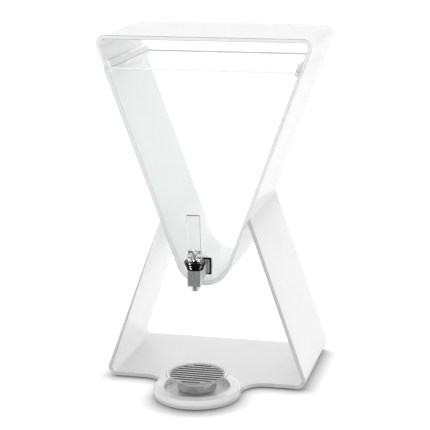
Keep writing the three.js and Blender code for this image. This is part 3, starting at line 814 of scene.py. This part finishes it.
def spout():
    """Short tube with an eased mouth and one turned groove."""
    x, y, radius, low, high = round_place("tap_spout")
    bore, ease, mouth = 4.2, 0.6, 0.5
    bottom, top, slope, depth = low + 3.2, low + 4.4, 0.3, 0.5
    profile = [(bore + mouth, low), *arc(radius - ease, low + ease, ease, -90, 0, 4),
               (radius, bottom), (radius - depth, bottom + slope), (radius - depth, top - slope),
               (radius, top), (radius, high), (bore, high), (bore, low + mouth)]
    piece("spout_tube", turned(profile, x, y, 96), [CHROME], "dispenser", ["tap_spout"])


def threaded_shank():
    """Tube with a helical thread that fades out at both ends."""
    low, high = box_mm("tap_shank")
    x, z = (low.x + high.x) / 2, (low.z + high.z) / 2
    crest, bore, pitch, depth = (high.x - low.x) / 2, 4.2, 2.0, 0.9
    flank, root, chamfer, samples, corners = 1.4, 0.2, 0.4, 10, 75
    count = int((high.y - low.y) / pitch * samples)

    def radius_at(y):
        fade = min(1.0, (y - low.y) / pitch, (high.y - y) / pitch)

        def radius(angle):
            phase = (y / pitch - angle / (2 * math.pi)) % 1
            cut = min(1, max(0, abs(2 * phase - 1) * flank - root))
            return crest - depth * (1 - fade) - depth * fade * cut
        return radius

    ys = [low.y + (high.y - low.y) * i / count for i in range(count + 1)]
    rings = [(y, radius_at(y)) for y in ys]
    rings += [(high.y, bore + chamfer), (high.y - chamfer, bore), (low.y, bore)]
    piece("shank_threaded", about_y(rings, x, z, 48), [THREAD], "dispenser", ["tap_shank"], corners)


def hex_nut():
    """Hexagon nut with turned chamfers on both faces."""
    low, high = box_mm("lock_nut")
    x, z = (low.x + high.x) / 2, (low.z + high.z) / 2
    flat, bore, slope, sixth = (high.z - low.z) / 2, 6.8, math.tan(math.radians(25)), math.pi / 3
    washer, lead, corners = 0.3, 0.6, 28

    def hexagon(angle):
        return flat / math.cos((angle - sixth / 2) % sixth - sixth / 2)

    def inset(angle):
        return (hexagon(angle) - flat + washer) * slope

    rings = [(low.y, flat - washer), (lambda angle: low.y + inset(angle), hexagon),
             (lambda angle: high.y - inset(angle), hexagon), (high.y, flat - washer),
             (high.y, bore + lead), (high.y - lead, bore), (low.y + lead, bore), (low.y, bore + lead)]
    piece("nut_chamfered", about_y(rings, x, z, 96), [CHROME], "dispenser", ["lock_nut"], corners)


# Clear pieces, whose edges carry painted light, shade and reflection unlike their faces
def lever():
    """Clear lever. The sides of its blade, above its eye, are tinted darker than its faces, as painted
    shade.
    """
    eye = 24
    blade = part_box("tap_lever")[0][2] + eye * MM

    def side(face):
        return int(abs(face.normal.x) > SQUARE and face.calc_center_median().z > blade)

    refined("lever_polished", "tap_lever", [MOULDED, LEVER_SIDE_SHADE], "lever", choose=side)


def pane_rim(face):
    """1 on the cut rim of a pane, and 0 on its two faces."""
    return int(abs(face.normal.y) < MOSTLY)


def rear_pane_rim(face):
    """As on the front pane, with the top of the rim apart as 2."""
    return 2 if face.normal.z > SQUARE else pane_rim(face)


def lid_rim(face):
    """2 on the lid's rear edge with its corners, 1 on its other edges, and 0 on its faces."""
    if abs(face.normal.z) > MOSTLY:
        return 0
    return 2 if face.normal.y > CORNERWISE else 1


def sheets():
    """The two panes and the lid. Their rims are opaque painted light, with a dark painted reflection along
    the rear pane's top and the lid's rear edge.
    """
    painted_rims = [PAINTED_LIGHT_EDGE, PAINTED_REFLECTION_DARK]
    refined("front_pane_polished", "front_pane", [PANE, PAINTED_LIGHT_EDGE], "dispenser",
            choose=pane_rim)
    refined("rear_pane_polished", "rear_pane", [PANE, *painted_rims], "dispenser",
            choose=rear_pane_rim)
    refined("lid_polished", "lid", [LID, *painted_rims], "sliding_lid", choose=lid_rim)


def build_pieces():
    """Every CAD node gets its material, or a finer piece in its place."""
    dress(BAND_WHITE, "tank_band")
    dress(STAND_WHITE, "stand")
    lever()
    dress(SATIN, "tap_body")
    dress(CHROME, "valve_stem", "lever_pin")
    dress(RUBBER, "outer_gasket")
    dress(SILICONE, "foot_front_left", "foot_front_right", "foot_rear_left", "foot_rear_right",
          "foot_platform", "inner_washer", "valve_seal")
    for side, word in ((-1, "left"), (1, "right")):
        cement_bead(side, "cement_bead_" + word)
        crotch_wedge(side, "wedge_cemented_" + word, "leg_wedge_" + word)
        lid_rail(side, "rail_strip_" + word, "lid_rail_" + word)
    sheets()
    refined("grate_eased", "drip_grate", [BRUSHED], "grate", ease=0.35)
    seat_ring()
    tray_cup()
    steel_cup()
    bonnet()
    spout()
    threaded_shank()
    hex_nut()


make_camera()
lit_by_strips = make_studio()
build_pieces()
for name in LIT_BY_STRIPS:
    lit_by_strips.objects.link(bpy.data.objects[name])
